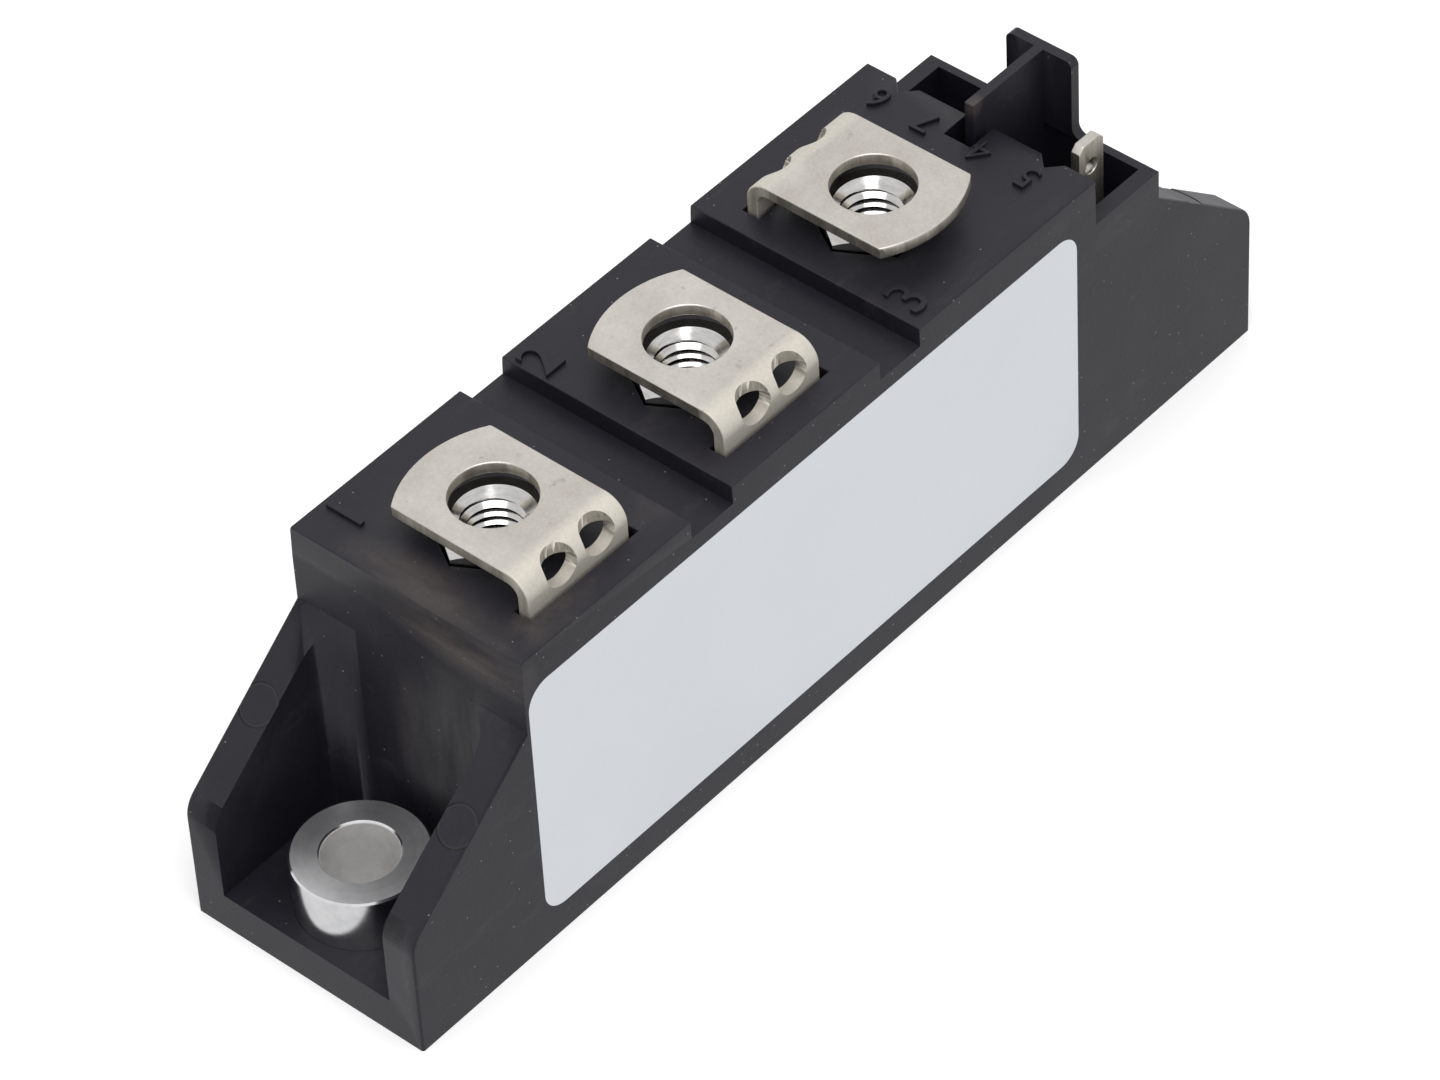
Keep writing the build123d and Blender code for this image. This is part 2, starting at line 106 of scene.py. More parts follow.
def finish_piece(piece, slot, *replaced):
    """Puts a piece on the body in the place of its CAD nodes, which are hidden; the slot is not used.
    """
    if replaced:
        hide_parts(*replaced)
    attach(piece, "root")


def new_material(name):
    """Starts a material with a node tree that holds one Principled shader."""
    material = bpy.data.materials.new(name)
    material.use_nodes = True
    return material, material.node_tree, material.node_tree.nodes["Principled BSDF"]


def add(tree, kind, **settings):
    """Adds a node: settings that name an input set its value, the others set its options."""
    added = tree.nodes.new(kind)
    for key, value in settings.items():
        if hasattr(added, key):
            setattr(added, key, value)
        else:
            added.inputs[key.replace("_", " ")].default_value = value
    return added


def own_place(tree):
    """The place of a point in the piece's own coordinates."""
    return add(tree, "ShaderNodeTexCoord").outputs["Object"]


def parts(tree, vector):
    """The X, Y and Z of a vector."""
    added = add(tree, "ShaderNodeSeparateXYZ")
    tree.links.new(vector, added.inputs["Vector"])
    return added.outputs


def facing_parts(tree):
    """The X, Y and Z of the way that the surface faces."""
    return parts(tree, add(tree, "ShaderNodeNewGeometry").outputs["Normal"])


def ramp(tree, factor, *stops):
    """Adds a colour ramp over a factor: each stop is a place and a colour or a grey value."""
    added = tree.nodes.new("ShaderNodeValToRGB")
    elements = added.color_ramp.elements
    while len(elements) < len(stops):
        elements.new(0.5)
    for element, (place, colour) in zip(elements, stops):
        element.position = place
        element.color = (*colour, 1) if isinstance(colour, tuple) else (colour,) * 3 + (1,)
    tree.links.new(factor, added.inputs["Fac"])
    return added.outputs["Color"]


def vary(tree, shader, name, factor, low, high):
    """Lets an input of the shader swing between two values with a factor."""
    tree.links.new(ramp(tree, factor, (0.3, low), (0.7, high)), shader.inputs[name])


def blend(tree, factor, first, second, mode="MIX"):
    """Mixes two colours, each a socket or a value, by a factor that is a socket or a value."""
    added = tree.nodes.new("ShaderNodeMix")
    added.data_type = "RGBA"
    added.blend_type = mode
    sockets = added.inputs[0], added.inputs[6], added.inputs[7]
    for socket, value in zip(sockets, (factor, first, second)):
        if isinstance(value, bpy.types.NodeSocket):
            tree.links.new(value, socket)
        elif isinstance(value, tuple):
            socket.default_value = (*value, 1)
        else:
            socket.default_value = value
    return added.outputs[2]


def reckon(tree, operation, first, second):
    """Adds a Math node over two sockets or values."""
    added = add(tree, "ShaderNodeMath", operation=operation)
    for socket, value in zip(added.inputs, (first, second)):
        if isinstance(value, bpy.types.NodeSocket):
            tree.links.new(value, socket)
        else:
            socket.default_value = value
    return added.outputs[0]


def noise(tree, scale, detail=3.0, roughness=0.55, stretch=(1.0, 1.0, 1.0)):
    """Adds a noise on the piece's own coordinates, in spots per metre, stretched along an axis."""
    squeeze = add(tree, "ShaderNodeMapping", Scale=stretch)
    tree.links.new(own_place(tree), squeeze.inputs["Vector"])
    added = add(tree, "ShaderNodeTexNoise", Scale=scale, Detail=detail, Roughness=roughness)
    tree.links.new(squeeze.outputs["Vector"], added.inputs["Vector"])
    return added.outputs["Fac"]


def bump(tree, shader, height, strength, distance):
    """Feeds a height to the shader's normal through a Bump node."""
    added = add(tree, "ShaderNodeBump", Strength=strength, Distance=distance)
    tree.links.new(height, added.inputs["Height"])
    tree.links.new(added.outputs["Normal"], shader.inputs["Normal"])


def put(tree, group, **values):
    """Places a shader node group with this material's own values."""
    added = tree.nodes.new("ShaderNodeGroup")
    added.node_tree = group
    for key, value in values.items():
        added.inputs[key.replace("_", " ")].default_value = value
    return added.outputs


def new_group(name, inputs, outputs):
    """Starts a shader node group with named inputs and outputs."""
    group = bpy.data.node_groups.new(name, "ShaderNodeTree")
    for label, kind, value in inputs:
        socket = group.interface.new_socket(name=label, in_out="INPUT", socket_type=kind)
        socket.default_value = value
    for label, kind in outputs:
        group.interface.new_socket(name=label, in_out="OUTPUT", socket_type=kind)
    entry = group.nodes.new("NodeGroupInput")
    leave = group.nodes.new("NodeGroupOutput")
    return group, entry.outputs, leave.inputs


# Dust: a few pale specks over a surface, each a small spot round a scattered point.
dust_specks, given, out = new_group(
    "dust_specks",
    [("Per Metre", "NodeSocketFloat", 480.0), ("Amount", "NodeSocketFloat", 0.5)],
    [("Mask", "NodeSocketFloat")],
)
points = add(dust_specks, "ShaderNodeTexVoronoi", feature="F1")
dust_specks.links.new(own_place(dust_specks), points.inputs["Vector"])
dust_specks.links.new(given["Per Metre"], points.inputs["Scale"])
spot = ramp(dust_specks, points.outputs["Distance"], (0.0, 1.0), (0.03, 1.0), (0.085, 0.0))
few = ramp(dust_specks, points.outputs["Color"], (0.0, 0.0), (0.58, 0.0), (0.66, 1.0))
kept = reckon(dust_specks, "MULTIPLY", spot, few)
dust_specks.links.new(reckon(dust_specks, "MULTIPLY", kept, given["Amount"]), out["Mask"])

# Fine grain: a height, and a slight change of tone that follows it.
fine_grain, given, out = new_group(
    "fine_grain",
    [("Per Metre", "NodeSocketFloat", 2600.0), ("Tone", "NodeSocketFloat", 0.2)],
    [("Height", "NodeSocketFloat"), ("Tint", "NodeSocketColor")],
)
speckle = add(fine_grain, "ShaderNodeTexNoise", Detail=3.0, Roughness=0.6)
fine_grain.links.new(own_place(fine_grain), speckle.inputs["Vector"])
fine_grain.links.new(given["Per Metre"], speckle.inputs["Scale"])
swing = ramp(fine_grain, speckle.outputs["Fac"], (0.3, 0.55), (0.7, 1.45))
fine_grain.links.new(blend(fine_grain, given["Tone"], (1.0, 1.0, 1.0), swing), out["Tint"])
fine_grain.links.new(speckle.outputs["Fac"], out["Height"])

# Patch for rubs and painted reflection: a soft-edged patch round a point of the piece, broken up by
# streaks.
rub_and_reflection_patch, given, out = new_group(
    "rub_and_reflection_patch",
    [
        ("Centre", "NodeSocketVector", (0.0, 0.0, 0.0)),
        ("Reach", "NodeSocketVector", (0.002, 0.002, 0.002)),
        ("Streaks", "NodeSocketVector", (600.0, 600.0, 600.0)),
        ("Amount", "NodeSocketFloat", 1.0),
    ],
    [("Mask", "NodeSocketFloat")],
)
spot_of = own_place(rub_and_reflection_patch)
offset = add(rub_and_reflection_patch, "ShaderNodeVectorMath", operation="SUBTRACT")
rub_and_reflection_patch.links.new(spot_of, offset.inputs[0])
rub_and_reflection_patch.links.new(given["Centre"], offset.inputs[1])
scaled = add(rub_and_reflection_patch, "ShaderNodeVectorMath", operation="DIVIDE")
rub_and_reflection_patch.links.new(offset.outputs["Vector"], scaled.inputs[0])
rub_and_reflection_patch.links.new(given["Reach"], scaled.inputs[1])
far = add(rub_and_reflection_patch, "ShaderNodeVectorMath", operation="LENGTH")
rub_and_reflection_patch.links.new(scaled.outputs["Vector"], far.inputs[0])
drawn = add(rub_and_reflection_patch, "ShaderNodeVectorMath", operation="MULTIPLY")
rub_and_reflection_patch.links.new(spot_of, drawn.inputs[0])
rub_and_reflection_patch.links.new(given["Streaks"], drawn.inputs[1])
streaks = add(rub_and_reflection_patch, "ShaderNodeTexNoise", Scale=1.0, Detail=4.0, Roughness=0.6)
rub_and_reflection_patch.links.new(drawn.outputs["Vector"], streaks.inputs["Vector"])
near = ramp(rub_and_reflection_patch, far.outputs["Value"], (0.0, 1.0), (0.45, 0.75), (1.0, 0.0))
broken = ramp(rub_and_reflection_patch, streaks.outputs["Fac"], (0.36, 0.25), (0.62, 1.0))
patch = reckon(rub_and_reflection_patch, "MULTIPLY", near, broken)
rub_and_reflection_patch.links.new(reckon(rub_and_reflection_patch, "MULTIPLY", patch, given["Amount"]), out["Mask"])

# Ring line: the thin rim of a round mark on the top side of a wall.
ring_line, given, out = new_group(
    "ring_line",
    [("Centre", "NodeSocketVector", (0.0, 0.0, 0.0)), ("Radius", "NodeSocketFloat", 0.0016)],
    [("Mask", "NodeSocketFloat")],
)
offset = add(ring_line, "ShaderNodeVectorMath", operation="DISTANCE")
ring_line.links.new(own_place(ring_line), offset.inputs[0])
ring_line.links.new(given["Centre"], offset.inputs[1])
share = reckon(ring_line, "DIVIDE", offset.outputs["Value"], given["Radius"])
half_share = reckon(ring_line, "MULTIPLY", share, 0.5)
rim_band = ramp(ring_line, half_share, (0.465, 0.0), (0.49, 1.0), (0.51, 1.0), (0.535, 0.0))
on_top = reckon(ring_line, "GREATER_THAN", facing_parts(ring_line)["Z"], 0.5)
ring_line.links.new(reckon(ring_line, "MULTIPLY", rim_band, on_top), out["Mask"])

case_plastic, tree, shader = new_material("case_plastic")
mark_radius, mark_inner_share = 0.0016, 0.93
wall_middle = 0.009175
mark_centres = [
    (x, y, z) for x, z in ((-0.0394, 0.01598), (0.0394, 0.01725)) for y in (-wall_middle, wall_middle)
]
clouds = noise(tree, 130.0, 4.0)
grain = put(tree, fine_grain, Per_Metre=2600.0, Tone=0.22)
colour = ramp(tree, clouds, (0.3, (0.0100, 0.0092, 0.0150)), (0.7, (0.0135, 0.0125, 0.0185)))
scuffs = ramp(tree, noise(tree, 420.0, 6.0, 0.7, (0.35, 1.0, 1.0)), (0.57, 0.0), (0.74, 0.45))
colour = blend(tree, scuffs, colour, (0.036, 0.032, 0.031))
along_edge, upright, all_round = (400.0, 150.0, 700.0), (900.0, 500.0, 90.0), (500.0,) * 3
rub_brown, grey_rub_and_reflection = (0.082, 0.069, 0.064), (0.056, 0.054, 0.056)
# Each patch has its centre, its reach, the run of its streaks, its amount and its colour. Most are
# rubbed wear; the upright ones on the bay face are painted reflection.
rubs_and_reflections = (
    ((-0.0334, -0.0060, 0.0255), (0.0018, 0.0090, 0.0026), along_edge, 0.95, rub_brown),
    ((-0.0322, 0.0000, 0.0275), (0.0030, 0.0075, 0.0010), along_edge, 0.70, rub_brown),
    ((-0.0290, -0.0085, 0.0275), (0.0050, 0.0028, 0.0010), all_round, 0.55, rub_brown),
    # Painted reflection: these upright patches on the bay face make it lighter, most on its near half,
    # in place of the floor that it mirrors.
    ((-0.0334, -0.0045, 0.0125), (0.0010, 0.0066, 0.0125), upright, 0.90, grey_rub_and_reflection),
    ((-0.0334, 0.0066, 0.0105), (0.0010, 0.0013, 0.0080), upright, 0.45, grey_rub_and_reflection),
    ((-0.0334, 0.0010, 0.0150), (0.0010, 0.0016, 0.0060), upright, 0.35, rub_brown),
    ((0.0262, -0.0004, 0.0303), (0.0014, 0.0012, 0.0016), all_round, 0.80, rub_brown),
    ((0.0290, -0.0080, 0.0262), (0.0022, 0.0022, 0.0022), all_round, 0.50, grey_rub_and_reflection),
    ((0.0240, -0.0098, 0.0262), (0.0085, 0.0012, 0.0016), all_round, 0.28, rub_brown),
    ((-0.0240, 0.0050, 0.0275), (0.0090, 0.0040, 0.0010), all_round, 0.22, grey_rub_and_reflection),
    ((-0.0150, -0.0075, 0.0275), (0.0060, 0.0025, 0.0010), all_round, 0.25, rub_brown),
)
for centre, reach, streak, amount, tint in rubs_and_reflections:
    mask = put(tree, rub_and_reflection_patch, Centre=centre, Reach=reach, Streaks=streak, Amount=amount)["Mask"]
    colour = blend(tree, mask, colour, tint)
colour = blend(tree, 1.0, colour, grain["Tint"], "MULTIPLY")
specks = put(tree, dust_specks, Per_Metre=1050.0, Amount=0.85)["Mask"]
colour = blend(tree, specks, colour, (0.26, 0.25, 0.24))
vary(tree, shader, "Roughness", clouds, 0.40, 0.48)
shader.inputs["Specular IOR Level"].default_value = 0.32
relief = grain["Height"]
# Painted shade and highlight: each ejector mark's rim is a dark painted shade line with a lighter
# painted highlight line just inside it, and the bump sinks the outer line.
for centre in mark_centres:
    mask = put(tree, ring_line, Centre=centre, Radius=mark_radius)["Mask"]
    colour = blend(tree, mask, colour, (0.004, 0.004, 0.005))
    rim_highlight = put(tree, ring_line, Centre=centre, Radius=mark_radius * mark_inner_share)["Mask"]
    colour = blend(tree, reckon(tree, "MULTIPLY", rim_highlight, 0.6), colour, (0.030, 0.029, 0.031))
    relief = reckon(tree, "SUBTRACT", relief, reckon(tree, "MULTIPLY", mask, 0.9))
tree.links.new(colour, shader.inputs["Base Color"])
bump(tree, shader, relief, 0.3, 0.00005)

# The rims of the block tops get their radius here. The rest keeps the crisp edges of the mould,
# and the material paints the rims of the round ejector marks as a line of painted shade with a line of
# painted highlight inside it.
blocks_start, blocks_end, rim_level = -0.0336, 0.0272, 0.0270
rim_radius = 0.00009


def on_block_rim(at):
    """Tells the rims of the block tops from the other edges of the case."""
    return blocks_start < at.x < blocks_end and at.z > rim_level


case = merged_copy("housing", "moulded_case")
round_edges(case, rim_radius, over=40, chosen=on_block_rim)
case.data.materials.append(case_plastic)
finish_piece(case, "housing_plastic", "housing")


# The numbers of the connections stand out of the top faces. They are moulded with the case, with
# steep walls and slightly rounded rims: 1 to 3 read along the module, 4 to 7 from its blade end.
big_digit, small_digit = 0.0033, 0.0022
digit_share = 0.7  # height of a digit in text of size 1
digit_rise, digit_sink, digit_rim = 0.00028, 0.00003, 0.00004
top_face = 0.0275
# Each digit has its height, its place along and across the module, and its turn in degrees.
digit_places = (
    ("1", big_digit, -0.0302, 0.0083, 0),
    ("2", big_digit, -0.0106, 0.0082, 0),
    ("3", big_digit, 0.0099, -0.0079, 0),
    ("4", small_digit, 0.0250, -0.0022, 90),
    ("5", small_digit, 0.0249, -0.0066, 90),
    ("6", small_digit, 0.0251, 0.0073, 90),
    ("7", small_digit, 0.0251, 0.0029, 90),
)


def join_all(pieces):
    """Joins pieces into the first of them."""
    deselect()
    for each in pieces:
        each.select_set(True)
    bpy.context.view_layer.objects.active = pieces[0]
    bpy.ops.object.join()
    return pieces[0]


digits = []
for figure, height, x, y, turn in digit_places:
    deselect()
    bpy.ops.object.text_add(location=(0, 0, 0))
    digit = bpy.context.object
    digit.data.body = figure
    digit.data.size = height / digit_share
    digit.data.align_x = "CENTER"
    digit.data.align_y = "CENTER"
    digit.data.extrude = (digit_rise + digit_sink) / 2
    digit.data.resolution_u = 6
    bpy.ops.object.convert(target="MESH")
    digit = bpy.context.object
    shift = Matrix.Translation((x, y, top_face + (digit_rise - digit_sink) / 2))
    middle = sum((Vector(corner) for corner in digit.bound_box), Vector()) / 8
    digit.data.transform(shift @ Matrix.Rotation(radians(turn), 4, "Z") @ Matrix.Translation(-middle))
    digits.append(digit)
digits = join_all(digits)
digits.name = "moulded_digits"
make_flats_whole(digits)
round_edges(digits, digit_rim, over=50, segments=2)
digits.data.materials.append(case_plastic)
finish_piece(digits, "housing_plastic")


# The bushes are turned from bar: rings of the tool on the top, fine lines round the wall and a
# duller drilled bore. They are moulded into the brackets so that screws don't crush the plastic.
bush_height, bush_radius, bore_radius = 0.0079, 0.0050, 0.0028
outer_chamfer, bore_chamfer = 0.00014, 0.00016
turning_steps, bore_margin = 96, 0.00004
dark_steel, light_steel, wall_rough, ring_pitch = (0.62, 0.62, 0.63), (0.74, 0.74, 0.75), 0.16, 0.00004
bush_profile = (
    (bore_radius + bore_chamfer, 0),
    (bush_radius - outer_chamfer, 0),
    (bush_radius, outer_chamfer),
    (bush_radius, bush_height - outer_chamfer),
    (bush_radius - outer_chamfer, bush_height),
    (bore_radius + bore_chamfer, bush_height),
    (bore_radius, bush_height - bore_chamfer),
    (bore_radius, bore_chamfer),
    (bore_radius + bore_chamfer, 0),
)
bush_places = (
    ("bush_terminal_end", "turned_bush_1", -0.040),
    ("bush_blade_end", "turned_bush_2", 0.040),
)


def merge_and_face_out(piece):
    """Merges a piece's doubles and turns its faces outwards."""
    pick(piece)
    bpy.ops.object.mode_set(mode="EDIT")
    bpy.ops.mesh.select_all(action="SELECT")
    bpy.ops.mesh.remove_doubles(threshold=0.000001)
    bpy.ops.mesh.normals_make_consistent(inside=False)
    bpy.ops.object.mode_set(mode="OBJECT")


def turn_profile(name, profile, steps, rise=0.0, turns=1):
    """Turns a profile of radii and heights about the upright axis, level or as a helix."""
    mesh = bpy.data.meshes.new(name)
    lines = [(start, start + 1) for start in range(len(profile) - 1)]
    mesh.from_pydata([(radius, 0, height) for radius, height in profile], lines, [])
    turned = bpy.data.objects.new(name, mesh)
    bpy.context.scene.collection.objects.link(turned)
    pick(turned)
    screw = turned.modifiers.new("turning", "SCREW")
    screw.axis = "Z"
    screw.steps = steps
    screw.render_steps = steps
    screw.screw_offset = rise
    screw.iterations = turns
    screw.use_merge_vertices = True
    screw.merge_threshold = 0.000001
    screw.use_smooth_shade = False
    bpy.ops.object.modifier_apply(modifier="turning")
    merge_and_face_out(turned)
    return turned


def turned_finish(name, axis_x):
    """Metal turned about an upright axis: rings on the flat faces and lines round the walls."""
    material, tree, shader = new_material(name)
    place = add(tree, "ShaderNodeMapping", Location=(-axis_x, 0.0, 0.0))
    tree.links.new(own_place(tree), place.inputs["Vector"])
    part = parts(tree, place.outputs["Vector"])
    square_x = reckon(tree, "MULTIPLY", part["X"], part["X"])
    square_y = reckon(tree, "MULTIPLY", part["Y"], part["Y"])
    radius = reckon(tree, "SQRT", reckon(tree, "ADD", square_x, square_y), 0.0)
    rings = add(tree, "ShaderNodeCombineXYZ")
    tree.links.new(reckon(tree, "MULTIPLY", radius, 1.0 / ring_pitch), rings.inputs["X"])
    tree.links.new(reckon(tree, "MULTIPLY", part["Z"], 1.0 / ring_pitch), rings.inputs["Z"])
    lines = add(tree, "ShaderNodeTexNoise", Scale=1.0, Detail=3.0, Roughness=0.65)
    tree.links.new(rings.outputs["Vector"], lines.inputs["Vector"])
    stains = noise(tree, 900.0, 4.0, 0.6)
    colour = ramp(tree, lines.outputs["Fac"], (0.3, dark_steel), (0.7, light_steel))
    stained = ramp(tree, stains, (0.45, 0.0), (0.75, 0.35))
    colour = blend(tree, stained, colour, dark_steel, "MULTIPLY")
    in_bore = reckon(tree, "LESS_THAN", radius, bore_radius + bore_margin)
    bored_tone = ramp(tree, stains, (0.3, (0.60, 0.585, 0.575)), (0.7, (0.70, 0.69, 0.68)))
    tree.links.new(blend(tree, in_bore, colour, bored_tone), shader.inputs["Base Color"])
    on_top = reckon(tree, "GREATER_THAN", facing_parts(tree)["Z"], 0.9)
    gloss = ramp(tree, lines.outputs["Fac"], (0.3, wall_rough - 0.04), (0.7, wall_rough + 0.05))
    gloss = reckon(tree, "ADD", gloss, reckon(tree, "MULTIPLY", on_top, 0.15))
    tree.links.new(blend(tree, in_bore, gloss, (0.7,) * 3), shader.inputs["Roughness"])
    tree.links.new(blend(tree, in_bore, (1.0,) * 3, (0.25,) * 3), shader.inputs["Metallic"])
    bump(tree, shader, lines.outputs["Fac"], 0.12, 0.00001)
    return material


for bush_node, bush_name, bush_x in bush_places:
    bush = turn_profile(bush_name, bush_profile, turning_steps)
    bush.data.transform(Matrix.Translation((bush_x, 0, 0)))
    shade_flat_and_round(bush)
    bush.data.materials.append(turned_finish(f"{bush_name}_steel", bush_x))
    finish_piece(bush, "turned_bush", bush_node)


# The ceramic plate closes the bottom. It is white alumina with copper bonded on both faces: bare
# heat-sink copper outside, three etched tracks inside.
alumina, tree, shader = new_material("alumina")
grain = put(tree, fine_grain, Per_Metre=5200.0, Tone=0.12)
colour = ramp(tree, noise(tree, 160.0), (0.3, (0.80, 0.79, 0.76)), (0.7, (0.86, 0.85, 0.82)))
tree.links.new(blend(tree, 1.0, colour, grain["Tint"], "MULTIPLY"), shader.inputs["Base Color"])
shader.inputs["Roughness"].default_value = 0.62
bump(tree, shader, grain["Height"], 0.2, 0.00001)

bare_copper, tree, shader = new_material("bare_copper")
clouds = noise(tree, 140.0, 5.0, 0.62)
rolled = noise(tree, 900.0, 3.0, 0.6, (0.05, 1.0, 1.0))
colour = ramp(tree, clouds, (0.3, (0.66, 0.36, 0.24)), (0.7, (0.80, 0.50, 0.36)))
colour = blend(tree, ramp(tree, clouds, (0.58, 0.0), (0.74, 0.55)), colour, (0.42, 0.20, 0.13))
colour = blend(tree, ramp(tree, rolled, (0.4, 0.0), (0.7, 0.25)), colour, (0.88, 0.62, 0.47))
tree.links.new(colour, shader.inputs["Base Color"])
vary(tree, shader, "Roughness", rolled, 0.28, 0.42)
shader.inputs["Metallic"].default_value = 1.0
bump(tree, shader, rolled, 0.25, 0.00001)


def dress(node, material):
    """Gives a CAD node that stays as it is its finished material."""
    nodes[node].data.materials.clear()
    nodes[node].data.materials.append(material)


dress("ceramic_plate", alumina)
for node in ("base_copper", "common_track", "positive_track", "negative_track"):
    dress(node, bare_copper)


# Two diode chips are soldered on the tracks. Each is a silicon square with a metallised top, and
# a bent copper clip takes its current to the next track.
dull_solder, tree, shader = new_material("dull_solder")
mottle = noise(tree, 1500.0, 4.0, 0.6)
vary(tree, shader, "Base Color", mottle, (0.50, 0.50, 0.52), (0.66, 0.66, 0.67))
vary(tree, shader, "Roughness", mottle, 0.36, 0.55)
shader.inputs["Metallic"].default_value = 1.0
bump(tree, shader, mottle, 0.3, 0.00001)

silicon_chip, tree, shader = new_material("silicon_chip")
lapped = noise(tree, 2400.0, 2.0, 0.5, (1.0, 0.2, 1.0))
vary(tree, shader, "Base Color", lapped, (0.20, 0.21, 0.24), (0.28, 0.29, 0.33))
vary(tree, shader, "Roughness", lapped, 0.10, 0.2)
shader.inputs["Metallic"].default_value = 0.6
bump(tree, shader, lapped, 0.1, 0.000005)
for number in (1, 2):
    dress(f"chip_solder_{number}", dull_solder)
    dress(f"diode_chip_{number}", silicon_chip)
    dress(f"contact_clip_{number}", bare_copper)


# Each terminal is punched and bent from copper strip and nickel plated: a satin, faintly pitted
# top, sheared sides with upright lines, and a duller bend toward the leg, painted lighter and warmer
# as its soft highlight.
row_y, third_start = -0.0005, 0.0055
share_of_reach = 200.0  # makes the half measure below 1 at 10 mm from the row
nickel_plate, tree, shader = new_material("nickel_plate")
facing, spread = facing_parts(tree), parts(tree, own_place(tree))
lying = reckon(tree, "ABSOLUTE", facing["Z"], 0.0)
upright = ramp(tree, lying, (0.0, 1.0), (0.12, 1.0), (0.3, 0.0))
# The legs of the first two lie on one side of the row and that of the third on the other.
leg_way = reckon(tree, "SUBTRACT", reckon(tree, "GREATER_THAN", spread["X"], third_start), 0.5)
toward_leg = reckon(tree, "MULTIPLY", reckon(tree, "ADD", spread["Y"], -row_y), leg_way)
bent = ramp(tree, reckon(tree, "MULTIPLY", toward_leg, share_of_reach), (0.52, 0.0), (0.58, 1.0))
sideways = reckon(tree, "GREATER_THAN", reckon(tree, "ABSOLUTE", facing["X"], 0.0), 0.9)
on_round = reckon(tree, "SUBTRACT", bent, sideways)
sheared = reckon(tree, "MULTIPLY", upright, reckon(tree, "LESS_THAN", on_round, 0.5))
leaning = ramp(tree, lying, (0.25, 0.0), (0.5, 1.0), (0.90, 0.8), (0.99, 0.0))
clouds = noise(tree, 190.0, 5.0, 0.6)
colour = ramp(tree, clouds, (0.3, (0.505, 0.470, 0.430)), (0.7, (0.645, 0.610, 0.575)))
# Painted highlight: the bend is painted lighter and warmer in place of its soft warm highlight.
colour = blend(tree, reckon(tree, "MULTIPLY", bent, 0.7), colour, (0.63, 0.595, 0.52))
shear_lines = noise(tree, 900.0, 4.0, 0.65, (1.0, 1.0, 0.12))
sheared_tone = ramp(tree, shear_lines, (0.35, (0.36, 0.33, 0.28)), (0.65, (0.66, 0.62, 0.54)))
colour = blend(tree, sheared, colour, sheared_tone)
pits = noise(tree, 1100.0, 3.0, 0.6)
pit_mask = ramp(tree, pits, (0.66, 0.0), (0.74, 1.0))
colour = blend(tree, reckon(tree, "MULTIPLY", pit_mask, 0.45), colour, (0.30, 0.27, 0.23))
grain = put(tree, fine_grain, Per_Metre=3600.0, Tone=0.13)
colour = blend(tree, 1.0, colour, grain["Tint"], "MULTIPLY")
tree.links.new(colour, shader.inputs["Base Color"])
gloss = blend(tree, leaning, ramp(tree, clouds, (0.3, 0.25), (0.7, 0.34)), (0.36,) * 3)
gloss = blend(tree, bent, gloss, (0.58,) * 3)
tree.links.new(blend(tree, sheared, gloss, (0.46,) * 3), shader.inputs["Roughness"])
tree.links.new(blend(tree, bent, (1.0,) * 3, (0.55,) * 3), shader.inputs["Metallic"])
relief = blend(tree, sheared, grain["Height"], shear_lines)
bump(tree, shader, relief, 0.45, 0.00002)

rolled_radius, case_cover = 0.00013, 0.0225
strip_side, tip_start, screw_hole_reach = 0.00503, 0.0045, 0.0034
bend_along, bend_height, bend_tolerance = 0.00565, 0.0286, 0.0001
inner_round, outer_round, same_way = 0.0009, 0.0019, 0.95
terminals = ((1, -0.0247, -1), (2, -0.0047, -1), (3, 0.0153, 1))


def on_outline(at, terminal_x, leg_side):
    """Tells the strip's outline and the rim of its screw hole from the rims of its bend holes."""
    across, along = at.x - terminal_x, (at.y - row_y) * leg_side
    on_side = abs(across) > strip_side
    at_tip = along < -tip_start
    at_screw_hole = across ** 2 + along ** 2 < screw_hole_reach ** 2
    return at.z > case_cover and (on_side or at_tip or at_screw_hole)


def smooth_bend(strip, leg_side):
    """Gives the long thin facets of the bend the normals of the true quarter round."""
    axis = Vector((0, row_y + leg_side * bend_along, bend_height))
    crosswise = Vector((0, 1, 1))
    normals = [corner.vector.copy() for corner in strip.data.corner_normals]
    for face in strip.data.polygons:
        offset = (face.center - axis) * crosswise
        on_bend = offset.z > 0 and offset.y * leg_side > 0
        for reach, sense in ((inner_round, -1), (outer_round, 1)):
            near_round = abs(offset.length - reach) < bend_tolerance
            if on_bend and near_round and face.normal.dot(offset.normalized()) * sense > same_way:
                for corner in face.loop_indices:
                    spot = strip.data.vertices[strip.data.loops[corner].vertex_index].co - axis
                    normals[corner] = sense * (spot * crosswise).normalized()
    strip.data.normals_split_custom_set(normals)


for number, terminal_x, leg_side in terminals:
    strip = merged_copy(f"terminal_{number}", f"screw_terminal_{number}")
    round_edges(strip, rolled_radius, over=40, chosen=lambda at: on_outline(at, terminal_x, leg_side))
    strip.data.materials.append(nickel_plate)
    finish_piece(strip, "plated_strip", f"terminal_{number}")
    smooth_bend(strip, leg_side)


# The push-on tab is a flat blade of the same plated strip, with chamfered corners at its tip and
# a small hole for the catch of the receptacle.
tab_edge_radius = 0.00008
tab = merged_copy("blade_tab", "push_on_tab")
round_edges(tab, tab_edge_radius, over=40)
tab.data.materials.append(nickel_plate)
finish_piece(tab, "plated_strip", "blade_tab")


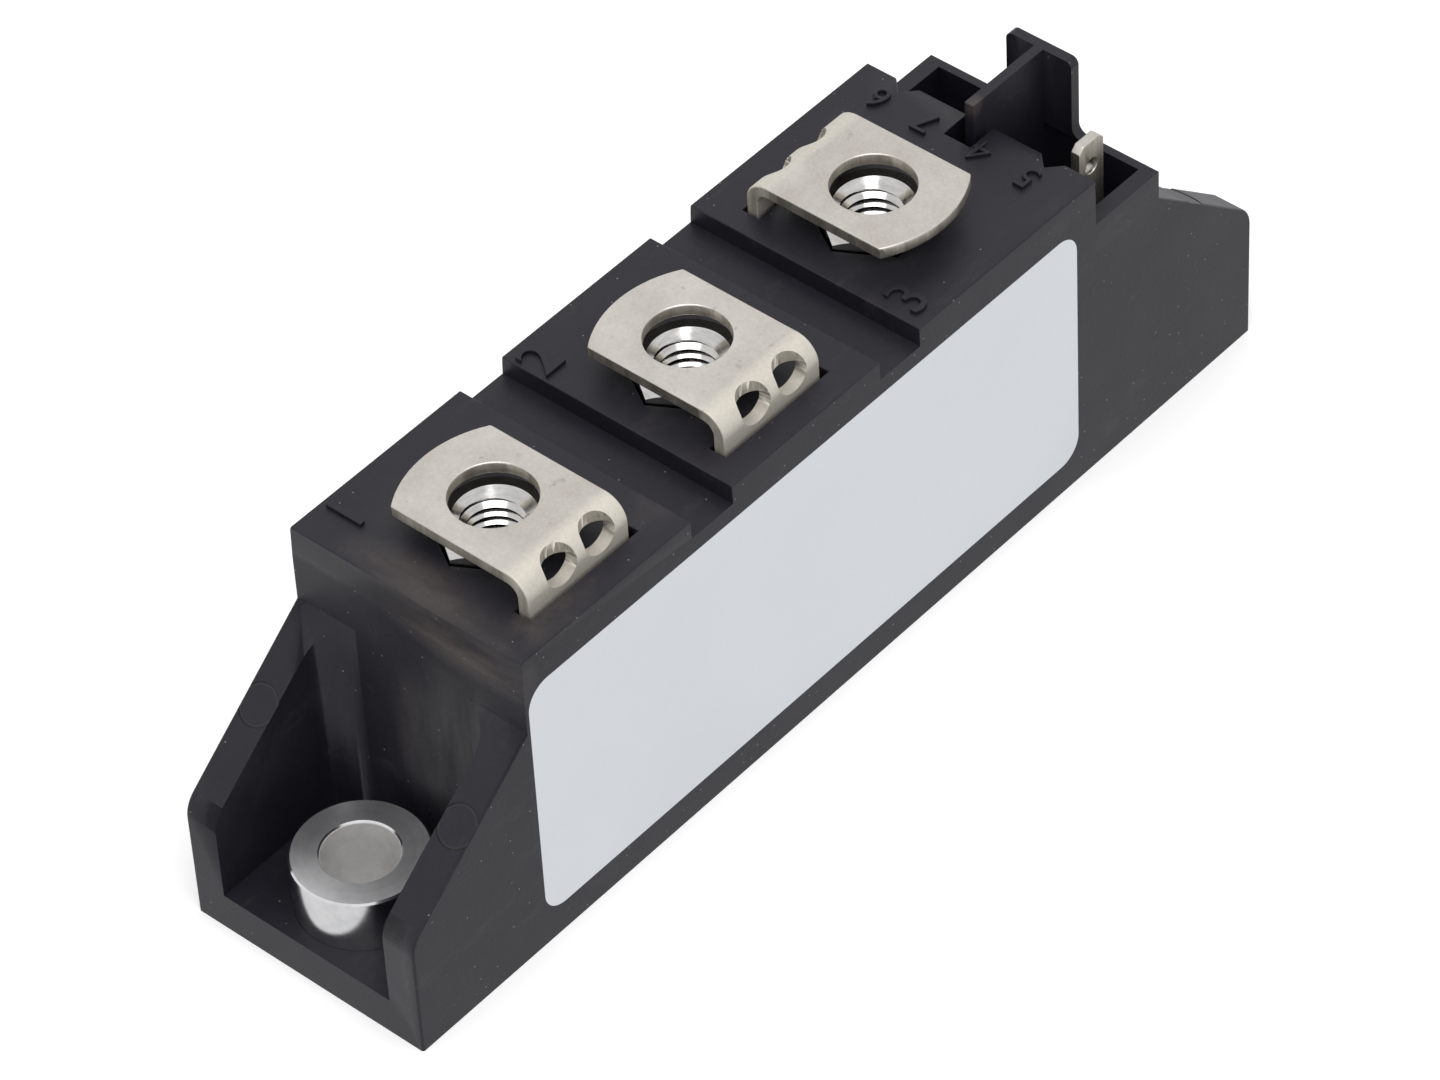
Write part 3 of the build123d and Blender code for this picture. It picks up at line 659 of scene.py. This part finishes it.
# The captive nuts sit loose in their hexagon pockets. Each is turned from hexagon bar with dropped
# corners on top and a countersunk mouth, then tapped with a coarse metric thread.
nut_seat, nut_top = 0.0239, 0.0286
nut_flats, nut_face, corner_drop = 0.0080, 0.0076, 0.0005
corner_reach = nut_flats * 0.62
thread_root, thread_crest, thread_pitch = 0.0025, 0.0021, 0.0008
mouth_radius, foot_mouth_radius = 0.0030, 0.00255
thread_steps, thread_turns, pitches_below, overrun = 72, 8, 1.5, 0.0001
nut_x, nut_pitch = -0.0247, 0.020
nut_height = nut_top - nut_seat


def work_on(piece, tool, operation):
    """Trims or cuts a piece with a tool body, which is used up."""
    pick(piece)
    step = piece.modifiers.new("tool_work", "BOOLEAN")
    step.operation = operation
    step.solver = "EXACT"
    step.object = tool
    bpy.ops.object.modifier_apply(modifier="tool_work")
    bpy.data.objects.remove(tool)


deselect()
half_side = radians(30)
bpy.ops.mesh.primitive_cylinder_add(
    vertices=6,
    radius=nut_flats / 2 / cos(half_side),
    depth=nut_height,
    location=(0, 0, nut_height / 2),
    rotation=(0, 0, half_side),
)
nut = bpy.context.object
nut.name = "captive_nuts"
bpy.ops.object.transform_apply(location=True, rotation=True, scale=True)
outside_profile = (
    (0, 0),
    (corner_reach, 0),
    (corner_reach, nut_height - 2 * corner_drop),
    (nut_face / 2, nut_height),
    (0, nut_height),
)
work_on(nut, turn_profile("nut_outside", outside_profile, thread_steps), "INTERSECT")

# The tap that cuts the bore: a helix whose crests fade into a cone at both mouths of the nut.
flat = thread_pitch / 8
thread_profile = (
    (thread_root, 0),
    (thread_root, flat),
    (thread_crest, thread_pitch / 2 - flat / 2),
    (thread_crest, thread_pitch / 2 + flat),
    (thread_root, thread_pitch),
)
tap = turn_profile("nut_tap", thread_profile, thread_steps, rise=thread_pitch, turns=thread_turns)
tap.data.transform(Matrix.Translation((0, 0, -pitches_below * thread_pitch)))
pick(tap)
bpy.ops.object.mode_set(mode="EDIT")
foot_levels, mouth_depths, hair = (0.0002, 0.0004), (0.0009, 0.0005, 0.0002), 0.0000001
for level in (*foot_levels, *(nut_height - depth for depth in mouth_depths)):
    bpy.ops.mesh.select_all(action="SELECT")
    bpy.ops.mesh.bisect(plane_co=(0, 0, level), plane_no=(0, 0, 1), threshold=hair)
for level, upward in ((-overrun, -1), (nut_height + overrun, 1)):
    bpy.ops.mesh.select_all(action="SELECT")
    bpy.ops.mesh.bisect(
        plane_co=(0, 0, level), plane_no=(0, 0, upward), threshold=hair,
        clear_outer=True, use_fill=True,
    )
bpy.ops.mesh.select_all(action="SELECT")
bpy.ops.mesh.normals_make_consistent(inside=False)
bpy.ops.object.mode_set(mode="OBJECT")
for point in tap.data.vertices:
    mouth = max(mouth_radius - (nut_height - point.co.z), foot_mouth_radius - point.co.z)
    point.co.xy = point.co.xy.normalized() * max(point.co.xy.length, mouth)
work_on(nut, tap, "DIFFERENCE")
merge_and_face_out(nut)
nut.data.transform(Matrix.Translation((nut_x, row_y, nut_seat)))
row = [nut]
for place in (1, 2):
    twin = bpy.data.objects.new(f"nut_{place + 1}", nut.data.copy())
    bpy.context.scene.collection.objects.link(twin)
    twin.data.transform(Matrix.Translation((place * nut_pitch, 0, 0)))
    row.append(twin)
join_all(row)
shade_flat_and_round(nut, over=28)
bright_steel, tree, shader = new_material("bright_steel")
swarf = noise(tree, 700.0, 4.0, 0.6, (1.0, 1.0, 5.0))
vary(tree, shader, "Base Color", swarf, (0.46, 0.45, 0.44), (0.62, 0.61, 0.60))
vary(tree, shader, "Roughness", swarf, 0.10, 0.18)
shader.inputs["Metallic"].default_value = 1.0
bump(tree, shader, swarf, 0.2, 0.00001)
nut.data.materials.append(bright_steel)
finish_piece(nut, "nut_steel", "terminal_nuts")


# The fillings close the module: grey silicone adhesive round the plate, clear soft gel over the
# circuit and black hard resin over the gel.
grey_adhesive, tree, shader = new_material("grey_adhesive")
skin = noise(tree, 800.0, 4.0, 0.6)
vary(tree, shader, "Base Color", skin, (0.36, 0.36, 0.36), (0.46, 0.46, 0.45))
vary(tree, shader, "Roughness", skin, 0.45, 0.6)
bump(tree, shader, skin, 0.4, 0.00003)

clear_gel, tree, shader = new_material("clear_gel")
ripple = noise(tree, 220.0, 2.0, 0.5)
vary(tree, shader, "Base Color", ripple, (0.74, 0.77, 0.78), (0.80, 0.82, 0.82))
vary(tree, shader, "Roughness", ripple, 0.12, 0.2)
bump(tree, shader, ripple, 0.2, 0.00005)

cast_resin, tree, shader = new_material("cast_resin")
filler = put(tree, fine_grain, Per_Metre=1800.0, Tone=0.3)
colour = ramp(tree, noise(tree, 120.0), (0.3, (0.020, 0.020, 0.021)), (0.7, (0.030, 0.029, 0.029)))
tree.links.new(blend(tree, 1.0, colour, filler["Tint"], "MULTIPLY"), shader.inputs["Base Color"])
shader.inputs["Roughness"].default_value = 0.3
bump(tree, shader, filler["Height"], 0.2, 0.00002)
dress("adhesive_bead", grey_adhesive)
dress("silicone_gel", clear_gel)
dress("casting_resin", cast_resin)


# The label is a blank satin film stuck into its recess: even in colour, with a faint ripple of
# the adhesive under it and a little dust.
label_film, tree, shader = new_material("label_film")
sheen = noise(tree, 70.0, 3.0, 0.5)
grain = put(tree, fine_grain, Per_Metre=3000.0, Tone=0.02)
colour = ramp(tree, sheen, (0.3, (0.680, 0.705, 0.748)), (0.7, (0.710, 0.733, 0.775)))
colour = blend(tree, 1.0, colour, grain["Tint"], "MULTIPLY")
specks = put(tree, dust_specks, Per_Metre=260.0, Amount=0.35)["Mask"]
tree.links.new(blend(tree, specks, colour, (0.42, 0.42, 0.43)), shader.inputs["Base Color"])
vary(tree, shader, "Roughness", sheen, 0.42, 0.5)
bump(tree, shader, sheen, 0.15, 0.00003)
dress("side_label", label_film)


# Studio: a plain pale floor under an even white surround, with one soft lamp above. The camera and
# bright surfaces see both as white or nearly so, and from below the floor lets the view through.
def seen_directly(tree):
    """A factor of 1 where the camera, a reflection or a clear piece looks at a surface."""
    path = add(tree, "ShaderNodeLightPath").outputs
    seen = reckon(tree, "MAXIMUM", path["Is Camera Ray"], path["Is Glossy Ray"])
    return reckon(tree, "MAXIMUM", seen, path["Is Transmission Ray"])


floor_gap, floor_glow, floor_in_gloss = 0.00002, 0.26, 0.92
deselect()
bpy.ops.mesh.primitive_plane_add(size=6.0, location=(0, 0, -floor_gap))
floor = bpy.context.object
floor.name = "pale_floor"
floor_paint, tree, shader = new_material("floor_paint")
path = add(tree, "ShaderNodeLightPath").outputs
paint = blend(tree, path["Is Glossy Ray"], (0.90,) * 3, (0.0,) * 3)
tree.links.new(paint, shader.inputs["Base Color"])
shader.inputs["Roughness"].default_value = 0.9
shader.inputs["Specular IOR Level"].default_value = 0.1
shader.inputs["Emission Color"].default_value = (1, 1, 1, 1)
glow = reckon(tree, "MULTIPLY", seen_directly(tree), floor_glow)
glow = blend(tree, path["Is Glossy Ray"], glow, (floor_in_gloss,) * 3)
tree.links.new(glow, shader.inputs["Emission Strength"])
underside = add(tree, "ShaderNodeNewGeometry").outputs["Backfacing"]
tree.links.new(reckon(tree, "SUBTRACT", 1.0, underside), shader.inputs["Alpha"])
floor.data.materials.append(floor_paint)

surround_light = 0.68
world = bpy.data.worlds.new("studio")
bpy.context.scene.world = world
world.use_nodes = True
surround = world.node_tree.nodes["Background"]
surround.inputs["Color"].default_value = (1, 1, 1, 1)
plain = reckon(world.node_tree, "MULTIPLY_ADD", seen_directly(world.node_tree), 1 - surround_light)
plain.node.inputs[2].default_value = surround_light
world.node_tree.links.new(plain, surround.inputs["Strength"])

softbox_place, softbox_aim = Vector((-0.16, -0.20, 0.70)), Vector((0, 0, 0.01))
bpy.ops.object.light_add(type="AREA", location=softbox_place)
softbox = bpy.context.object
softbox.name = "softbox"
softbox.data.shape = "DISK"
softbox.data.size = 0.6
softbox.data.energy = 2.6
softbox.rotation_euler = (softbox_aim - softbox_place).to_track_quat("-Z", "Y").to_euler()

# The camera stands where the photo was taken from, as fitted to it.
azimuth, elevation, roll = radians(-46.926), radians(44.300), radians(-3.463)
distance, focal_pixels, image_width, sensor_width = 0.484751, 6822.04, 1440, 36.0
fitted_middle, shift_left, shift_down = Vector((0, 0, 0.012)), 0.001244, 0.003636
back = Vector((sin(azimuth) * cos(elevation), -cos(azimuth) * cos(elevation), sin(elevation)))
level_right = Vector((cos(azimuth), sin(azimuth), 0))
level_up = back.cross(level_right)
right = level_right * cos(roll) + level_up * sin(roll)
up = level_up * cos(roll) - level_right * sin(roll)
aim = fitted_middle - shift_left * right - shift_down * up
bpy.ops.object.camera_add(location=aim + distance * back)
camera = bpy.context.object
camera.rotation_euler = Matrix((right, up, back)).transposed().to_euler()
camera.data.sensor_width = sensor_width
camera.data.sensor_fit = "HORIZONTAL"
camera.data.lens = focal_pixels / image_width * sensor_width
camera.data.clip_start = 0.01
bpy.context.scene.camera = camera
bpy.context.scene.view_settings.view_transform = "Standard"
